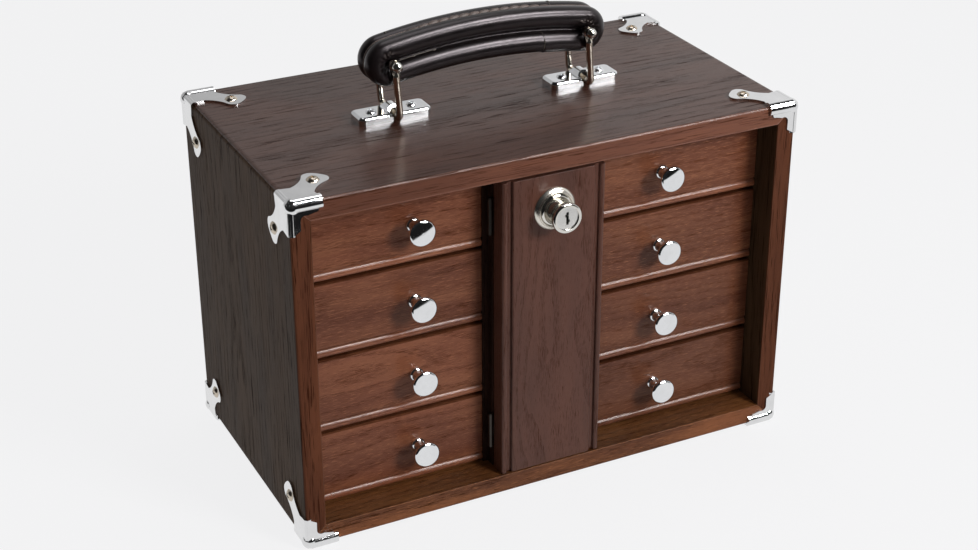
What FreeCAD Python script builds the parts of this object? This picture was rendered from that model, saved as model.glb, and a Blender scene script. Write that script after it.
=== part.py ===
"""Small wooden tool chest: eight drawers, a lockable middle door, a leather carrying handle.

Millimetres, +X to the right, +Y to the back, +Z up. The origin is on the ground, at the middle of
the footprint with the projecting lock included.
"""
import FreeCAD, Part
import math
import os

os.makedirs("parts", exist_ok=True)
V = FreeCAD.Vector

# Case
case_width = 350.0
case_depth = 192.5
case_height = 237.5
board = 13.0
back_thickness = 9.0
edge_round = 3.5
lip_round = 1.6

# Corner protectors
guard_sheet = 1.2
guard_bead_radius = 4.5
guard_bulge = 2.5
guard_ball_radius = 5.2
guard_fold_radius = 2.6
guard_fold_bulge = 1.3
guard_reach = 20.5
guard_screw_inset = 24.7
tread_flat = 0.3

# Domed screws of the protectors, pan head screws of the handle brackets
dome_radius = 4.2
dome_height = 1.7
flat_dome_height = 0.8
dome_shank = 1.6
dome_length = 9.0
pan_radius = 3.6
pan_height = 1.6
pan_shank = 1.4
pan_length = 9.0
recess_width = 0.9
recess_depth = 0.8

# Drawers
row_count = 4
front_gap = 1.6
foot_gap = 1.3
head_gap = 1.4
front_thickness = 12.0
drawer_recess = 21.5
side_gap = 0.6
drawer_back_gap = 4.0
drawer_wall = 8.0
drawer_side_lift = 3.0
drawer_side_drop = 4.0
side_rebate = 6.0
panel_thickness = 4.0
panel_lift = 4.0
panel_tongue = 4.0
panel_fit = 0.2
finger_count = 5
bead_height = 5.6
bead_proud = 0.5
quirk_depth = 1.4
quirk_width = 1.2
arris = 0.7

# Drawer runners
runner_height = 7.6
runner_width = 4.5
runner_fit = 0.2
runner_front_gap = 2.0
runner_back_gap = 2.0
runner_share = 0.45

# Knobs
knob_x = 88.2
knob_radius = 8.8
knob_length = 16.0
knob_neck_radius = 3.2
knob_base_radius = 4.8
knob_stud_radius = 2.0
knob_stud_length = 9.0

# Middle of the case
partition = 13.0
column_inner_x = 41.0
post_outer_x = 37.5
post_width = 13.0
post_depth = 7.0

# Middle door
door_centre_x = -1.5
door_width = 72.0
door_thickness = 12.4
door_recess = 0.3
door_foot_gap = 1.0
door_head_gap = 2.2
door_bead = 3.9
door_groove = 3.2
door_groove_depth = 2.2

# Hinges
leaf_thickness = 0.85
leaf_gap = 0.1
leaf_width = 12.0
leaf_height = 24.0
knuckle_radius = 1.75
hinge_pin_radius = 0.9
hinge_fit = 0.05
hinge_pin_head = 0.6
knuckle_gap = 0.2
low_hinge_rise = 16.5
high_hinge_drop = 16.5
hinge_screw_radius = 1.7
hinge_screw_shank = 0.8
hinge_screw_length = 6.0
hinge_screw_spacing = 13.0

# Lock
lock_drop = 25.5
lock_projection = 17.5
rosette_radius = 14.3
rosette_thickness = 3.0
barrel_radius = 9.2
barrel_rim_radius = 9.95
barrel_collar_radius = 10.4
barrel_waist_radius = 8.9
plug_radius = 7.6
plug_recess = 0.9
plug_fit = 0.05
nut_flats = 23.0
nut_thickness = 4.0
tail_radius = 5.6
tail_square = 6.4
cam_width = 12.0
cam_thickness = 2.0
cam_reach = 29.0
cam_clearance = 0.4
keyway_height = 8.4
keyway_width = 1.7
keyway_depth = 11.0

# Handle
bracket_x = 68.5
bracket_length = 50.0
bracket_width = 18.5
bracket_height = 5.6
bracket_rounding = 2.0
bracket_sheet = 1.2
bracket_corner = 4.0
saddle_radius = 5.2
saddle_centre = 4.2
saddle_crown_width = 7.0
bracket_screw_x = 14.0
bail_radius = 2.3
bail_fit = 0.08
bail_rise = 3.6
bail_length = 36.2
bail_y = 14.8
bail_bend = 4.0
eye_radius = 3.7
eye_thickness = 2.4
eye_spade_angle = math.radians(18)
eye_neck = 3.6
handle_pin_radius = 1.5
ball_radius = 3.6
ball_gap = 0.1
handle_lean = 4.5
grip_end_offset = 1.2
grip_drop = 1.0
grip_crown = 6.5
grip_roll_radius = 6.8
grip_roll_rise = 8.3
grip_roll_y = 5.2
grip_web_half = 8.6
strap_height = 10.0
strap_thickness = 3.0
strap_lug_radius = 5.5

# Places worked out from the sizes above
case_z = guard_bulge - tread_flat
case_top_z = case_z + case_height
floor_z = case_z + board
ceiling_z = case_top_z - board
lock_front = lock_projection - door_recess
case_y = -(case_depth + guard_bulge - lock_front) / 2
case_back_y = case_y + case_depth
row_pitch = (ceiling_z - floor_z - foot_gap - head_gap + front_gap) / row_count
front_height = row_pitch - front_gap
drawer_side_height = front_height - drawer_side_lift - drawer_side_drop
runner_rise = drawer_side_height * runner_share
inner_x = case_width / 2 - board
panel_y = case_back_y - back_thickness
front_y = case_y + drawer_recess
front_back_y = front_y + front_thickness
front_outer_x = inner_x - side_gap
front_inner_x = column_inner_x + side_gap
drawer_end_y = panel_y - drawer_back_gap
door_y = case_y + door_recess
door_back_y = door_y + door_thickness
hinge_y = door_back_y + leaf_thickness + leaf_gap / 2
post_y = hinge_y + leaf_thickness + leaf_gap / 2
post_back_y = front_y
door_left_x = door_centre_x - door_width / 2
hinge_x = door_left_x - knuckle_radius - hinge_fit
lock_z = ceiling_z - lock_drop
cam_y = post_back_y + cam_clearance
bail_z = case_top_z + bail_rise
lean = math.radians(handle_lean)
pin_dx = -bail_length * math.sin(lean)
pin_z = bail_z + bail_length * math.cos(lean)


def block(x0, x1, y0, y1, z0, z1):
    """A box between two corners, given as low and high of each axis."""
    return Part.makeBox(x1 - x0, y1 - y0, z1 - z0, V(x0, y0, z0))


def rod(start, end, radius):
    """A cylinder from one point to another."""
    along = end - start
    return Part.makeCylinder(radius, along.Length, start, along)


def outline(place, start, steps):
    """A flat face. A step is a point, or a pair of points for an arc through the first to the second."""
    edges = []
    here = place(*start)
    for step in steps:
        if isinstance(step[0], tuple):
            middle = place(*step[0])
            there = place(*step[1])
            edges.append(Part.Arc(here, middle, there).toShape())
        else:
            there = place(*step)
            edges.append(Part.LineSegment(here, there).toShape())
        here = there
    return Part.Face(Part.Wire(edges))


def turned(start, steps, base, axis):
    """A body of revolution. Profile points are (distance along the axis, radius), closed on the axis."""
    face = outline(lambda a, r: V(r, 0, a), start, steps)
    solid = face.revolve(V(0, 0, 0), V(0, 0, 1), 360)
    solid.Placement = FreeCAD.Placement(base, FreeCAD.Rotation(V(0, 0, 1), axis))
    return solid


def fused(shapes):
    """One solid from touching ones, with the seams between flat neighbours taken out."""
    return shapes[0].multiFuse(shapes[1:]).removeSplitter()


def save(name, shapes):
    """Write one node: a single solid, or a group of separate solids."""
    shape = shapes if isinstance(shapes, Part.Shape) else Part.makeCompound(shapes)
    shape.exportStep(f"parts/{name}.step")


def screw(seat, outward, head_radius, head_height, shank_radius, length):
    """A domed screw with a cross recess. The seat is under the head, outward is the way it faces."""
    rise = head_height * 0.75
    steps = [(0, head_radius), ((rise, head_radius * 0.72), (head_height, 0)), (-length, 0),
             (-length, shank_radius * 0.3), (-length * 0.8, shank_radius), (0, shank_radius)]
    body = turned((0, shank_radius), steps, V(0, 0, 0), V(0, 0, 1))
    arm = head_radius * 0.55
    half = recess_width / 2
    bottom = head_height - min(recess_depth, head_height * 0.6)
    cross = block(-arm, arm, -half, half, bottom, head_height + 1)
    cross = cross.fuse(block(-half, half, -arm, arm, bottom, head_height + 1))
    body = body.cut(cross)
    body.Placement = FreeCAD.Placement(seat, FreeCAD.Rotation(V(0, 0, 1), outward))
    return body


def countersunk(seat, outward, head_radius, shank_radius, length):
    """A small flat head screw. The seat is the middle of its face, outward is the way it faces."""
    cone = head_radius - shank_radius
    steps = [(0, head_radius), (-cone, shank_radius), (-length, shank_radius * 0.6), (-length, 0)]
    return turned((0, 0), steps + [(0, 0)], seat, outward)


def ear_outline(place):
    """The flat of a protector on the top or side: edge flanges and a diagonal spade-shaped ear."""
    s = guard_screw_inset
    r = guard_reach
    return outline(place, (0, 0), [
        (r, 0), (r - 0.5, 4.5), (r - 1.2, 8.3),
        ((s - 2.0, s - 11.0), (s + 3.9, s - 6.1)), (s + 7.9, s - 4.3),
        ((s + 9.9, s - 0.7), (s + 8.7, s + 3.5)), ((s + 6.3, s + 6.3), (s + 3.5, s + 8.7)),
        ((s - 0.7, s + 9.9), (s - 4.3, s + 7.9)), (s - 6.1, s + 3.9),
        ((s - 11.0, s - 2.0), (8.3, r - 1.2)), (4.5, r - 0.5), (0, r), (0, 0)])


def flange_outline(place):
    """The scalloped L of a protector on the front or back."""
    r = guard_reach
    return outline(place, (0, 0), [
        (r, 0), (r - 0.3, 3.0), ((r - 0.9, 4.2), (r - 2.0, 4.6)), (r - 2.6, 6.2),
        ((r - 3.2, 7.0), (r - 4.6, 7.2)), (r - 9.5, 8.4), ((7.2, 9.2), (6.4, 11.6)),
        (6.5, r - 3.2), (2.0, r - 0.4), (0, r), (0, 0)])


def protector(tread):
    """A stamped corner at the front left bottom of the case, with the wooden corner at the origin."""
    t = guard_sheet
    i = guard_bead_radius - guard_bulge
    b = guard_ball_radius - guard_bulge
    f = guard_fold_radius - guard_fold_bulge
    reach = guard_reach
    flats = [
        ear_outline(lambda a, b: V(a, b, 0)).extrude(V(0, 0, -t)),
        ear_outline(lambda a, b: V(0, a, b)).extrude(V(-t, 0, 0)),
        flange_outline(lambda a, b: V(a, 0, b)).extrude(V(0, -t, 0)),
    ]
    ball = Part.makeSphere(guard_ball_radius)
    ball.Placement = FreeCAD.Placement(V(b, b, b), FreeCAD.Rotation(V(1, 1, 0), V(0, 0, 1), V(1, -1, 0), "ZXY"))
    folds = [
        rod(V(b, i, i), V(reach, i, i), guard_bead_radius),
        rod(V(f, b, f), V(f, reach, f), guard_fold_radius),
        rod(V(f, f, b), V(f, f, reach), guard_fold_radius),
        ball,
    ]
    wood = block(0, case_width, 0, case_depth, 0, case_height)
    shell = flats[0].multiFuse(flats[1:] + folds).cut(wood)
    if tread:
        shell = shell.cut(block(-board, reach * 3, -board, reach * 3, -board, -case_z))
    return shell.removeSplitter()


def at_corners(shape_of):
    """Copies of a piece of the front left bottom corner, mirrored to all eight corners."""
    result = []
    for top in (False, True):
        for back in (False, True):
            for right in (False, True):
                piece = shape_of(not top)
                piece.translate(V(-case_width / 2, case_y, case_z))
                if right:
                    piece = piece.mirror(V(0, 0, 0), V(1, 0, 0))
                if back:
                    piece = piece.mirror(V(0, case_y + case_depth / 2, 0), V(0, 1, 0))
                if top:
                    piece = piece.mirror(V(0, 0, case_z + case_height / 2), V(0, 0, 1))
                result.append(piece)
    return result


def protector_screws():
    """The two screws of each corner, one in each ear. The ones under the chest have flatter heads."""
    s = guard_screw_inset
    shank = (dome_shank, dome_length)
    seat = V(s, s, -guard_sheet)
    level = at_corners(lambda tread: screw(seat, V(0, 0, -1), dome_radius,
                                           flat_dome_height if tread else dome_height, *shank))
    upright = at_corners(lambda tread: screw(V(-guard_sheet, s, s), V(-1, 0, 0), dome_radius, dome_height, *shank))
    return level + upright


def handle_points():
    """The middles of the two handle brackets on the top board."""
    return [V(side * bracket_x, case_y + case_depth / 2, case_top_z) for side in (-1, 1)]


def bracket_screws():
    """Two screws through each handle bracket."""
    result = []
    for foot in handle_points():
        for side in (-1, 1):
            seat = foot + V(side * bracket_screw_x, 0, bracket_height)
            result.append(screw(seat, V(0, 0, 1), pan_radius, pan_height, pan_shank, pan_length))
    return result


def case_boards(holes):
    """The four mitred boards round the opening, with rounded outer edges, and the back panel."""
    half = case_width / 2
    outer = block(-half, half, case_y, case_back_y, case_z, case_top_z)
    long_edges = [e for e in outer.Edges if abs(e.BoundBox.YLength - case_depth) < 1e-6]
    outer = outer.makeFillet(edge_round, long_edges)
    lips = [e for e in outer.Edges if e.BoundBox.YLength < 1e-6]
    outer = outer.makeFillet(lip_round, lips)
    ring = outer.cut(block(-inner_x, inner_x, case_y, case_back_y, floor_z, ceiling_z))
    corners = {
        "case_top": [(-half, case_top_z), (half, case_top_z), (inner_x, ceiling_z), (-inner_x, ceiling_z)],
        "case_bottom": [(-half, case_z), (half, case_z), (inner_x, floor_z), (-inner_x, floor_z)],
        "case_side_left": [(-half, case_top_z), (-inner_x, ceiling_z), (-inner_x, floor_z), (-half, case_z)],
        "case_side_right": [(half, case_top_z), (inner_x, ceiling_z), (inner_x, floor_z), (half, case_z)],
    }
    for name, points in corners.items():
        face = outline(lambda a, b: V(a, case_y, b), points[0], points[1:] + points[:1])
        save(name, ring.common(face.extrude(V(0, case_depth, 0))).cut(holes))
    save("case_back", block(-inner_x, inner_x, panel_y, case_back_y, floor_z, ceiling_z))


def partitions_and_posts(holes):
    """Two uprights from floor to ceiling, and the post on the front edge of each."""
    uprights = []
    posts = []
    for side in (-1, 1):
        near = sorted((side * column_inner_x, side * (column_inner_x - partition)))
        uprights.append(block(*near, front_y, panel_y, floor_z, ceiling_z))
        edge = sorted((side * post_outer_x, side * (post_outer_x - post_width)))
        posts.append(block(*edge, post_y, post_back_y, floor_z, ceiling_z).cut(holes))
    save("partitions", uprights)
    save("door_posts", posts)


def row_z(row):
    """The lower edge of the drawer fronts of a row, counted from the floor of the case."""
    return floor_z + foot_gap + row * row_pitch


def runner_z(row):
    """The middle height of the runners of a row."""
    return row_z(row) + drawer_side_lift + runner_rise


def runners():
    """A wooden strip each side of every drawer, on the case sides and on the partitions."""
    result = []
    walls = [(-inner_x, 1), (-column_inner_x, -1), (column_inner_x, 1), (inner_x, -1)]
    start = front_back_y + runner_front_gap
    end = panel_y - runner_back_gap
    for row in range(row_count):
        middle = runner_z(row)
        for wall, way in walls:
            span = sorted((wall, wall + way * runner_width))
            result.append(block(*span, start, end, middle - runner_height / 2, middle + runner_height / 2))
    return result


def front_blank(x0, x1, z0):
    """A drawer front: flat face, quirk, half-round bead along the lower edge."""
    z1 = z0 + front_height
    quirk = front_y + quirk_depth
    bead_top = z0 + bead_height
    steps = [
        (front_back_y, z1), (front_y + arris, z1), (front_y, z1 - arris), (front_y, bead_top + quirk_width),
        (quirk, bead_top + quirk_width * 0.6), (quirk, bead_top),
        ((front_y - bead_proud, z0 + bead_height / 2), (quirk, z0)), (front_back_y, z0)]
    return outline(lambda y, z: V(x0, y, z), (front_back_y, z0), steps).extrude(V(x1 - x0, 0, 0))


def knob(x, z):
    """A turned knob with its screw stud."""
    steps = [
        (1.0, knob_base_radius), ((1.7, knob_base_radius - 0.4), (2.2, knob_neck_radius + 0.5)),
        ((5.0, knob_neck_radius), (8.4, knob_neck_radius + 1.1)),
        ((11.4, knob_radius - 2.4), (13.0, knob_radius - 0.2)), ((13.9, knob_radius), (14.8, knob_radius - 0.2)),
        ((knob_length - 0.8, knob_radius - 0.5), (knob_length - 0.4, knob_radius - 1.1)),
        ((knob_length - 0.12, knob_radius * 0.5), (knob_length, knob_radius * 0.1)), (knob_length, 0),
        (-knob_stud_length, 0), (-knob_stud_length, knob_stud_radius), (0, knob_stud_radius),
        (0, knob_base_radius)]
    return turned((0, knob_base_radius), steps, V(x, front_y, z), V(0, -1, 0))


def drawer(column, side, row):
    """One drawer: front, sides and back, bottom panel, knob. Each is a node of its own."""
    name = f"drawer_{column}_{row + 1}"
    x0, x1 = sorted((side * front_outer_x, side * front_inner_x))
    z0 = row_z(row)
    low = z0 + drawer_side_lift
    high = low + drawer_side_height
    side_y = front_back_y - side_rebate
    panel_z = low + panel_lift
    panel_top = panel_z + panel_thickness
    tongue = drawer_wall - panel_tongue
    panel = block(x0 + tongue + panel_fit, x1 - tongue - panel_fit, front_back_y - panel_tongue + panel_fit,
                  drawer_end_y, panel_z, panel_top)
    slot = block(x0 + tongue, x1 - tongue, front_back_y - panel_tongue, drawer_end_y, panel_z, panel_top)

    handle = knob(side * knob_x, z0 + front_height / 2)
    front = front_blank(x0, x1, z0)
    for edge in (block(x0, x0 + drawer_wall, side_y, front_back_y, low, high),
                 block(x1 - drawer_wall, x1, side_y, front_back_y, low, high)):
        front = front.cut(edge)
    save(f"{name}_front", front.cut(slot).cut(handle))

    groove_half = runner_height / 2 + runner_fit
    middle = runner_z(row)
    groove_y = front_back_y + runner_front_gap / 2
    depth = runner_width - side_gap + runner_fit * 2
    grooves = [block(x0, x0 + depth, groove_y, drawer_end_y, middle - groove_half, middle + groove_half),
               block(x1 - depth, x1, groove_y, drawer_end_y, middle - groove_half, middle + groove_half)]
    left = block(x0, x0 + drawer_wall, side_y, drawer_end_y, low, high)
    right = block(x1 - drawer_wall, x1, side_y, drawer_end_y, low, high)
    rear = block(x0 + drawer_wall, x1 - drawer_wall, drawer_end_y - drawer_wall, drawer_end_y, panel_top, high)
    pitch = (high - panel_top) / finger_count
    fingers = []
    for step in range(0, finger_count, 2):
        z = panel_top + step * pitch
        fingers.append(block(x0, x1, drawer_end_y - drawer_wall, drawer_end_y, z, z + pitch))
    rear = fused([rear] + fingers).cut(Part.makeCompound(grooves))
    frame = [left.cut(slot).cut(grooves[0]).cut(rear), right.cut(slot).cut(grooves[1]).cut(rear), rear]
    save(f"{name}_box", frame)
    save(f"{name}_bottom", panel)
    save(f"{name}_knob", handle)


def door_panel(holes):
    """The middle door, with a bead and a groove along both long edges of its face."""
    low = floor_z + door_foot_gap
    high = ceiling_z - door_head_gap
    x0 = door_left_x
    x1 = door_left_x + door_width
    deep = door_y + door_groove_depth
    b = door_bead
    g = door_bead + door_groove
    steps = [
        (x0, deep), ((x0 + b / 2, door_y), (x0 + b, deep)), (x0 + g, deep), (x0 + g, door_y + arris),
        (x0 + g + arris, door_y), (x1 - g - arris, door_y), (x1 - g, door_y + arris), (x1 - g, deep),
        (x1 - b, deep), ((x1 - b / 2, door_y), (x1, deep)), (x1, door_back_y), (x0, door_back_y)]
    panel = outline(lambda x, y: V(x, y, low), (x0, door_back_y), steps).extrude(V(0, 0, high - low))
    return panel.cut(holes)


def hinge_heights():
    """The lower ends of the two hinges."""
    return [floor_z + low_hinge_rise, ceiling_z - high_hinge_drop - leaf_height]


def hinge_leaf(low, moving):
    """One leaf. The moving leaf has the middle knuckle, the fixed leaf has the two outer ones."""
    third = leaf_height / 3
    bore = hinge_pin_radius + hinge_fit
    if moving:
        y0, y1 = door_back_y, door_back_y + leaf_thickness
        spans = [(low + third, low + 2 * third)]
    else:
        y0, y1 = post_y - leaf_thickness, post_y
        spans = [(low, low + third - knuckle_gap), (low + 2 * third + knuckle_gap, low + leaf_height)]
    solids = [block(door_left_x, door_left_x + leaf_width, y0, y1, low, low + leaf_height)]
    for start, end in spans:
        solids.append(block(hinge_x, door_left_x, y0, y1, start, end))
        solids.append(rod(V(hinge_x, hinge_y, start), V(hinge_x, hinge_y, end), knuckle_radius))
    leaf = fused(solids)
    half = leaf_gap / 2
    wide = leaf_width * 2
    if moving:
        beyond = block(door_left_x, hinge_x + wide, hinge_y - half, hinge_y + wide, low, low + leaf_height)
    else:
        beyond = block(door_left_x, hinge_x + wide, hinge_y - wide, hinge_y + half, low, low + leaf_height)
    leaf = leaf.cut(beyond)
    return leaf.cut(rod(V(hinge_x, hinge_y, low - 1), V(hinge_x, hinge_y, low + leaf_height + 1), bore))


def hinge_screws(moving):
    """Two countersunk screws in each leaf."""
    face = door_back_y + leaf_thickness if moving else post_y - leaf_thickness
    outward = V(0, 1, 0) if moving else V(0, -1, 0)
    result = []
    for low in hinge_heights():
        for side in (-1, 1):
            seat = V(door_left_x + leaf_width * 0.55, face, low + leaf_height / 2 + side * hinge_screw_spacing / 2)
            result.append(countersunk(seat, outward, hinge_screw_radius, hinge_screw_shank, hinge_screw_length))
    return result


def hinge_pin(low):
    """A pin with a small head at each end, just outside the knuckles."""
    ends = [V(hinge_x, hinge_y, low), V(hinge_x, hinge_y, low + leaf_height)]
    up = V(0, 0, hinge_pin_head)
    return fused([rod(ends[0] - up, ends[1] + up, hinge_pin_radius),
                  rod(ends[0] - up, ends[0], hinge_pin_radius + hinge_pin_head),
                  rod(ends[1], ends[1] + up, hinge_pin_radius + hinge_pin_head)])


def lock_barrel():
    """The outer body of the lock, through the door, waisted behind its rim and seated on the rosette."""
    front = lock_projection
    rim = barrel_rim_radius
    body = barrel_radius
    seat = rosette_thickness - 1.4
    bore = plug_radius + plug_fit
    back = -(door_thickness + nut_thickness + 0.5)
    steps = [
        (back, body), (seat, body), (seat, barrel_collar_radius), (seat + 0.7, barrel_collar_radius),
        ((seat + 1.6, body - 0.1), (seat + 3.0, barrel_waist_radius)),
        ((front - 6.0, body - 0.2), (front - 2.0, rim)), (front - 0.9, rim), ((front - 0.2, rim - 0.5), (front, rim - 1.3)),
        (front, bore), (back, bore)]
    return turned((back, bore), steps, V(door_centre_x, door_y, lock_z), V(0, -1, 0))


def lock_rosette():
    """The dished ring under the lock's collar."""
    t = rosette_thickness
    r = rosette_radius
    inner = barrel_radius + plug_fit
    recess = barrel_collar_radius + 0.25
    steps = [
        (0, r), (0.6, r), ((1.5, r - 0.7), (t - 0.5, r - 2.0)), ((t, r - 2.7), (t - 0.4, recess + 0.5)),
        (t - 1.0, recess), (t - 1.4, recess), (t - 1.4, inner), (0, inner)]
    return turned((0, inner), steps, V(door_centre_x, door_y, lock_z), V(0, -1, 0))


def lock_nut():
    """The hexagon nut behind the door."""
    radius = nut_flats / math.sqrt(3)
    points = [(door_centre_x + radius * math.cos(math.radians(60 * k)),
               lock_z + radius * math.sin(math.radians(60 * k))) for k in range(6)]
    face = outline(lambda x, z: V(x, door_back_y, z), points[0], points[1:] + points[:1])
    hole = rod(V(door_centre_x, door_back_y, lock_z), V(door_centre_x, door_back_y + nut_thickness, lock_z),
               barrel_radius)
    return face.extrude(V(0, nut_thickness, 0)).cut(hole)


def lock_plug():
    """The turning cylinder: keyway in front, a round tail and a square for the cam behind."""
    front = lock_projection - plug_recess
    shoulder = -(cam_y - door_y)
    behind = -(door_thickness + nut_thickness + 0.9)
    end = shoulder - cam_thickness
    steps = [(front, plug_radius), (behind, plug_radius), (behind, tail_radius), (shoulder, tail_radius), (shoulder, 0)]
    plug = turned((front, 0), steps + [(front, 0)], V(door_centre_x, door_y, lock_z), V(0, -1, 0))
    half = tail_square / 2
    square = block(door_centre_x - half, door_centre_x + half, cam_y, door_y - end, lock_z - half, lock_z + half)
    face = door_y - front
    w = keyway_width / 2
    h = keyway_height / 2
    slots = [block(door_centre_x - w, door_centre_x + w, face, face + keyway_depth, lock_z - h, lock_z + h),
             block(door_centre_x - w * 2, door_centre_x, face, face + keyway_depth, lock_z + h * 0.25, lock_z + h * 0.6),
             block(door_centre_x, door_centre_x + w * 2, face, face + keyway_depth, lock_z - h * 0.6, lock_z - h * 0.2)]
    return plug.fuse(square).cut(Part.makeCompound(slots))


def lock_cam():
    """The flat cam on the square of the plug, hanging straight down while the lock is open."""
    half = cam_width / 2
    tip = 4.0
    x = door_centre_x
    low = lock_z - cam_reach
    face = outline(lambda a, b: V(a, cam_y, b), (x - half, lock_z), [
        ((x, lock_z + half), (x + half, lock_z)), (x + half, low + tip * 2), (x + tip, low),
        (x - tip, low), (x - half, low + tip * 2), (x - half, lock_z)])
    s = tail_square / 2
    hole = block(x - s, x + s, cam_y, cam_y + cam_thickness, lock_z - s, lock_z + s)
    return face.extrude(V(0, cam_thickness, 0)).cut(hole)


def rounded_plate(length, width, corner, z):
    """The outline of a plate with round corners, as a wire at one height."""
    x = length / 2
    y = width / 2
    c = corner
    k = corner * (1 - math.sqrt(0.5))
    return outline(lambda a, b: V(a, b, z), (-x + c, -y), [
        (x - c, -y), ((x - k, -y + k), (x, -y + c)), (x, y - c), ((x - k, y - k), (x - c, y)),
        (-x + c, y), ((-x + k, y - k), (-x, y - c)), (-x, -y + c), ((-x + k, -y + k), (-x + c, -y))]).OuterWire


def pan(inset, top):
    """A low block with round corners, upright walls and a rounded top edge, inset from the bracket's outline."""
    plan = rounded_plate(bracket_length - 2 * inset, bracket_width - 2 * inset, bracket_corner - inset, 0)
    body = Part.Face(plan).extrude(V(0, 0, top))
    rim = [e for e in body.Edges if min(v.Z for v in e.Vertexes) > top - 0.001]
    return body.makeFillet(bracket_rounding - inset, rim)


def bracket(foot):
    """A pressed handle bracket: a pan open below, with an arched saddle that holds the bail's cross bar."""
    t = bracket_sheet
    flat = bracket_width / 2 - bracket_rounding
    wide = bracket_width
    ends = (V(0, -wide, saddle_centre), V(0, wide, saddle_centre))
    crest = saddle_centre + saddle_radius
    crown = saddle_crown_width / 2
    strap = outline(lambda a, b: V(-wide, a, b), (-flat, bracket_height - t), [
        (flat, bracket_height - t), (crown, crest), (-crown, crest), (-flat, bracket_height - t)])
    hump = rod(*ends, saddle_radius).common(strap.extrude(V(2 * wide, 0, 0)))
    hollow = rod(*ends, saddle_radius - t).common(block(-wide, wide, -wide, wide, bracket_height - t, wide))
    slot = bail_radius + bail_fit
    channel = rod(V(0, -wide, bail_rise), V(0, wide, bail_rise), slot)
    channel = channel.fuse(block(-slot, slot, -wide, wide, 0, bail_rise))
    body = pan(0, bracket_height).cut(pan(t, bracket_height - t)).fuse(hump).cut(hollow).cut(channel)
    body.translate(foot)
    return body


def bail(foot):
    """A bent rod: cross bar in the saddle, two legs, flattened eyes at the upper ends."""
    y = bail_y
    b = bail_bend
    r = bail_radius
    solids = [rod(V(0, -y + b, 0), V(0, y - b, 0), r)]
    for side in (-1, 1):
        ring = Part.Face(Part.Wire(Part.makeCircle(r, V(0, side * (y - b), 0), V(0, 1, 0))))
        solids.append(ring.revolve(V(0, side * (y - b), b), V(side, 0, 0), 90))
        neck = bail_length - eye_radius - eye_neck
        solids.append(rod(V(0, side * y, b), V(0, side * y, neck), r))
        solids.append(Part.makeCone(r, eye_thickness / 2, eye_neck, V(0, side * y, neck)))
        cheek = eye_radius * math.cos(eye_spade_angle)
        drop = -eye_radius * math.sin(eye_spade_angle)
        foot_z = neck - bail_length + eye_neck / 4
        wedge = outline(lambda a, c: V(a, side * y - eye_thickness / 2, bail_length + c), (-cheek, drop), [
            (cheek, drop), (r, foot_z), (-r, foot_z), (-cheek, drop)])
        solids.append(wedge.extrude(V(0, eye_thickness, 0)))
        out = V(0, side * eye_thickness / 2, 0)
        eye = V(0, side * y, bail_length)
        solids.append(rod(eye - out, eye + out, eye_radius))
    body = solids[0].multiFuse(solids[1:])
    hole = rod(V(0, -y * 2, bail_length), V(0, y * 2, bail_length), handle_pin_radius + bail_fit)
    body = body.cut(hole)
    body.rotate(V(0, 0, 0), V(0, 1, 0), -handle_lean)
    body.translate(foot + V(0, 0, bail_rise))
    return body


def cross_pin(centre):
    """A pin through the grip with a ball head outside each eye, the heads cut flat on the inside."""
    seat = bail_y + eye_thickness / 2 + ball_gap
    r = ball_radius
    steps = [
        ((-seat - r * 0.6, r), (-seat, r * 0.8)), (-seat, handle_pin_radius), (seat, handle_pin_radius),
        (seat, r * 0.8),
        ((seat + r * 0.6, r), (seat + r * 1.6, 0)), (-seat - r * 1.6, 0)]
    return turned((-seat - r * 1.6, 0), steps, centre, V(0, 1, 0))


def arched(middle, half, radius_offset, y, tube):
    """A tube along an arc over the handle, from one end centre to the other."""
    radius = (half ** 2 + grip_crown ** 2) / (2 * grip_crown)
    hub = middle + V(0, y, grip_crown - radius)
    angle = math.degrees(math.asin(half / radius))
    start = V(-math.sin(math.radians(angle)), 0, math.cos(math.radians(angle)))
    ring = Part.makeCircle(tube, hub + start * (radius + radius_offset), V(start.z, 0, -start.x))
    return Part.Face(Part.Wire(ring)).revolve(hub, V(0, 1, 0), 2 * angle)


def arch_slab(middle, half, low, high, thickness):
    """A slab along the same arc, between two distances from its middle line, closed by round ends."""
    radius = (half ** 2 + grip_crown ** 2) / (2 * grip_crown)
    hub_z = grip_crown - radius
    angle = math.asin(half / radius)
    s = math.sin(angle)
    c = math.cos(angle)
    outer = radius + high
    inner = radius - low
    face = outline(lambda a, b: middle + V(a, -thickness / 2, b), (-inner * s, hub_z + inner * c), [
        ((0, hub_z + inner), (inner * s, hub_z + inner * c)), (outer * s, hub_z + outer * c),
        ((0, hub_z + outer), (-outer * s, hub_z + outer * c)), (-inner * s, hub_z + inner * c)])
    slab = face.extrude(V(0, thickness, 0))
    ends = []
    for side in (-1, 1):
        end = middle + V(side * half, 0, 0)
        ends.append(rod(end - V(0, thickness / 2, 0), end + V(0, thickness / 2, 0), (low + high) / 2))
    return slab.multiFuse(ends)


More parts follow.
